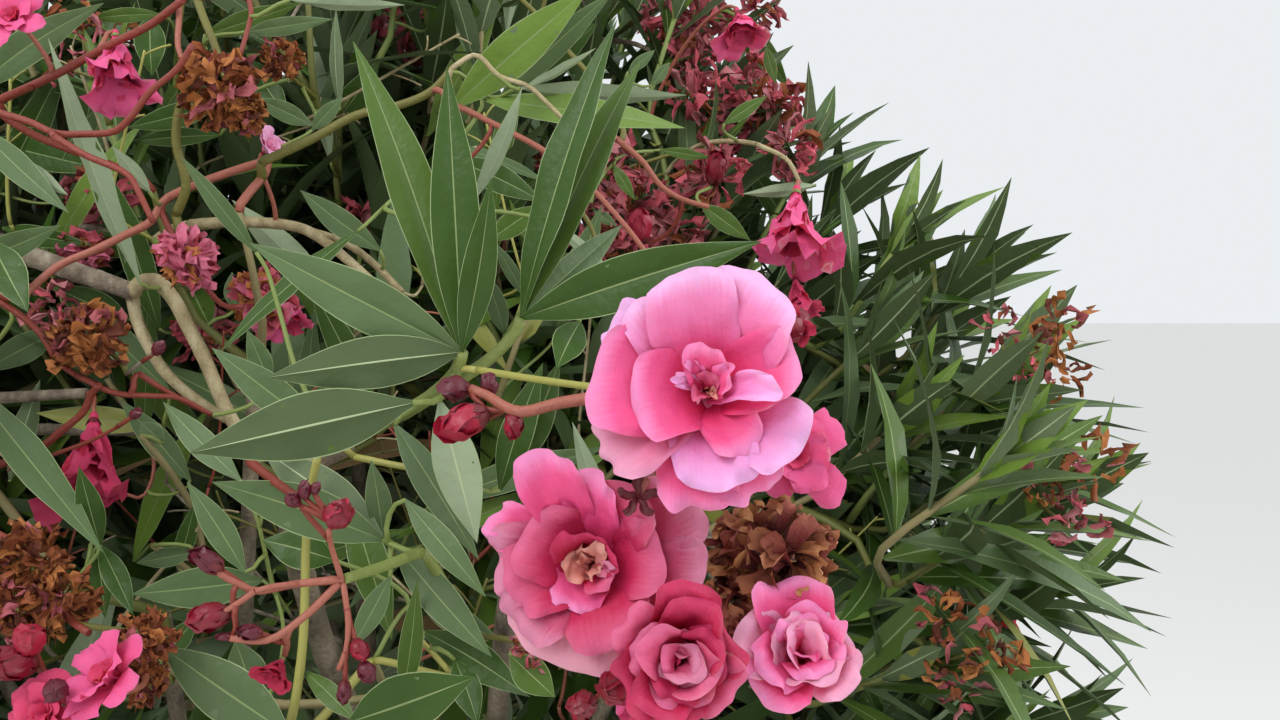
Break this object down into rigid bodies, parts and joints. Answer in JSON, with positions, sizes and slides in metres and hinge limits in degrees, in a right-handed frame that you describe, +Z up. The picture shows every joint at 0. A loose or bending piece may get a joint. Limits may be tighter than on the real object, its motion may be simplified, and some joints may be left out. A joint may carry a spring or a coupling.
{
  "type": "potted oleander",
  "caption": "Double pink oleander shrub in a round terracotta pot: stems fork into boughs that carry masses of long narrow leaves, open blooms, buds and spent flowers.",
  "frame": {"origin": "centre of the pot's flat underside, on the surface that it stands on", "axes": "+Z up the plant; -Y towards the side that the picture was taken from; +X to the right seen from there"},
  "size_m": [1.191, 1.1694, 1.5393],
  "materials": {
    "pot": "unglazed terracotta, matt, faintly streaked",
    "soil": "moist potting mix with bark chips",
    "bark": "thin grey-tan bark, greener towards the tips",
    "leaves": "leathery leaf, dark and satin above, paler and matt beneath",
    "flower_stalk": "smooth red-brown to green stalk",
    "petals": "soft pink petal, paler at the margin, deeper at the throat",
    "spent_petals": "dry crumpled petal, tan to wine red"
  },
  "bodies": {
    "root": {"pot": "pot", "potting_soil": "soil", "stem_1": "bark", "stem_2": "bark", "stem_3": "bark", "stem_4": "bark", "stem_5": "bark", "stem_6": "bark", "bough_front": "bark", "bough_flowering": "bark", "bough_middle_2": "bark", "bough_lower_1": "bark", "bough_upper_2": "bark", "bough_middle_3": "bark", "bough_lower_2": "bark", "bough_upper_3": "bark", "bough_upper_4": "bark", "bough_middle_4": "bark", "bough_lower_3": "bark", "bough_upper_5": "bark", "bough_middle_5": "bark", "bough_lower_4": "bark", "bough_upper_1": "bark", "bough_middle_1": "bark", "bough_middle_6": "bark", "bough_lower_5": "bark", "bough_top": "bark", "foliage_front": "leaves", "flower_stalk": "flower_stalk", "bloom_front_upper": "petals", "bloom_front_left": "petals", "bloom_front_lower": "petals", "bloom_front_right": "petals", "bloom_front_spent": "spent_petals", "foliage_top": "leaves", "foliage_upper_1": "leaves", "foliage_upper_2": "leaves", "foliage_upper_3": "leaves", "foliage_upper_4": "leaves", "foliage_upper_5": "leaves", "foliage_middle_1": "leaves", "foliage_middle_2": "leaves", "foliage_middle_3": "leaves", "foliage_middle_4": "leaves", "foliage_middle_5": "leaves", "foliage_middle_6": "leaves", "foliage_lower_1": "leaves", "foliage_lower_2": "leaves", "foliage_lower_3": "leaves", "foliage_lower_4": "leaves", "foliage_lower_5": "leaves"}
  },
  "joints": []
}
